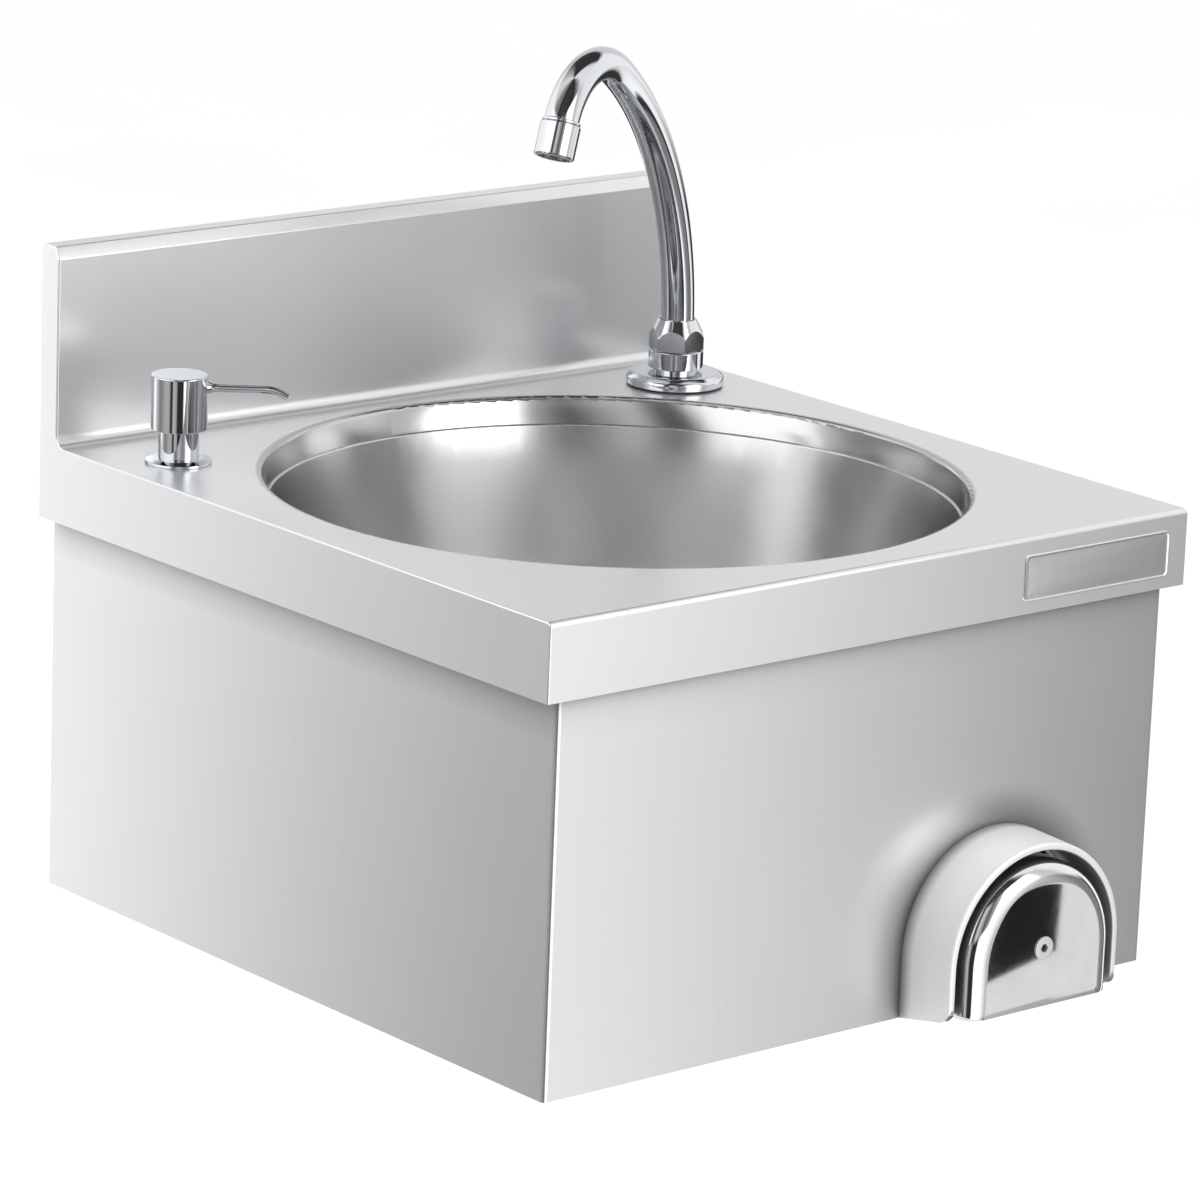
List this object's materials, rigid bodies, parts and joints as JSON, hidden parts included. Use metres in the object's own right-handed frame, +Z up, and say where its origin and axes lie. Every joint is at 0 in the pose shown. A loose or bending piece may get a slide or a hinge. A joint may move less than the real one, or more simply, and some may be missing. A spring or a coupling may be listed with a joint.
{
  "type": "hand wash sink",
  "caption": "Wall-hung stainless steel hand wash sink: round bowl in a folded deck with upstand, swan-neck tap worked by a guarded knee plate, deck soap pump",
  "frame": {"origin": "middle of the four wall bolt holes, on the wall plane", "axes": "+X along the wall to the user's right, +Y into the wall (the user stands at -Y), +Z up"},
  "size_m": [0.4, 0.4343, 0.4216],
  "materials": {
    "satin_steel": "satin stainless sheet, ground along the sheet",
    "polished_steel": "polished stainless steel",
    "chrome_plate": "bright chrome plate on brass",
    "brass": "plain turned brass",
    "black_rubber": "matt rubber",
    "grey_plastic": "moulded plastic",
    "milky_plastic": "milky moulded plastic"
  },
  "bodies": {
    "basin": {"deck_and_upstand": "satin_steel", "skirt": "satin_steel", "rear_rail": "satin_steel", "bowl": "satin_steel", "waste_flange": "polished_steel", "waste_strainer": "polished_steel", "waste_screw": "polished_steel", "waste_bridge": "brass", "waste_gasket": "black_rubber", "waste_nut": "brass", "waste_slip_nut": "chrome_plate", "waste_tailpiece": "chrome_plate", "tap_seal": "black_rubber", "tap_rose": "chrome_plate", "tap_body": "chrome_plate", "spout_seals": "black_rubber", "tap_fibre_washer": "grey_plastic", "tap_clamp_washer": "polished_steel", "tap_lock_nut": "brass", "spout_nut": "chrome_plate", "pump_collar": "chrome_plate", "pump_neck": "chrome_plate", "pump_gasket": "black_rubber", "pump_nut": "grey_plastic", "pump_cylinder": "milky_plastic", "dip_tube": "milky_plastic", "soap_bottle": "milky_plastic", "knee_guard": "satin_steel", "valve_body": "brass", "valve_nut": "brass", "guard_screws": "polished_steel", "feed_pipe": "chrome_plate", "pipe_nuts": "brass"},
    "spout": {"spout_tube": "chrome_plate", "aerator_housing": "chrome_plate", "aerator_cartridge": "grey_plastic"},
    "knee_push": {"knee_plate": "polished_steel", "knee_screw": "polished_steel", "valve_stem": "polished_steel", "return_spring": "polished_steel"},
    "pump_plunger": {"pump_rod": "milky_plastic", "pump_spring": "polished_steel"},
    "pump_top": {"pump_head": "chrome_plate", "pump_nozzle": "chrome_plate"}
  },
  "joints": [
    {"name": "spout_swivel", "type": "hinge", "parent": "basin", "child": "spout", "pos_m": [0.157, -0.064, 0.15], "axis": [0, 0, 1], "range_deg": [-40, 150]},
    {"name": "knee_stroke", "type": "slide", "parent": "basin", "child": "knee_push", "axis": [0, 1, 0], "range_m": [0, 0.008], "stiffness_N_per_m": 2000, "springref_m": -0.003, "deforming": ["return_spring"]},
    {"name": "pump_stroke", "type": "slide", "parent": "basin", "child": "pump_plunger", "axis": [0, 0, -1], "range_m": [0, 0.012], "stiffness_N_per_m": 300, "springref_m": -0.005, "deforming": ["pump_spring"]},
    {"name": "pump_turn", "type": "hinge", "parent": "pump_plunger", "child": "pump_top", "pos_m": [-0.166, -0.07, 0.17], "axis": [0, 0, 1], "continuous": true}
  ]
}
